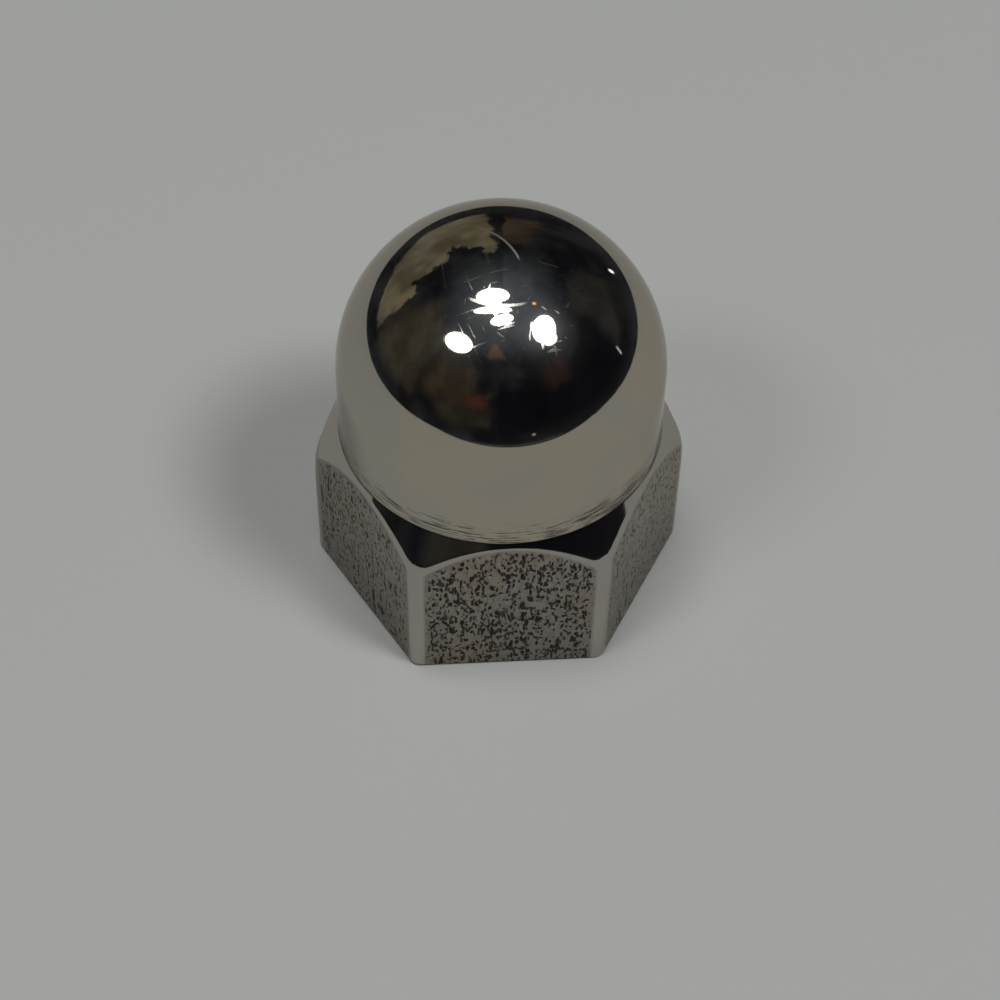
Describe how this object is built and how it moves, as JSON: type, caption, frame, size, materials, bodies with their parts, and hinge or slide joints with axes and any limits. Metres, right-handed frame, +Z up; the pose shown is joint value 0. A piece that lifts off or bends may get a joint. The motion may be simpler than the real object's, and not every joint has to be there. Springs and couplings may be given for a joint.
{
  "type": "cap nut",
  "caption": "High-crown cap nut: hexagon foot with steep turned shoulders under a polished ball crown, blind tapped hole opening at the flat bearing face.",
  "frame": {"origin": "centre of the bearing face", "axes": "+Z up the thread axis towards the top of the crown, +X through an upright corner of the hexagon, -Y square to the front flat"},
  "size_m": [0.0126, 0.0112, 0.0145],
  "materials": {
    "stainless_steel": "mirror-polished crown and shoulders, satin pitted flats with buffed edges"
  },
  "bodies": {
    "root": {"cap_nut": "stainless_steel"}
  },
  "joints": []
}
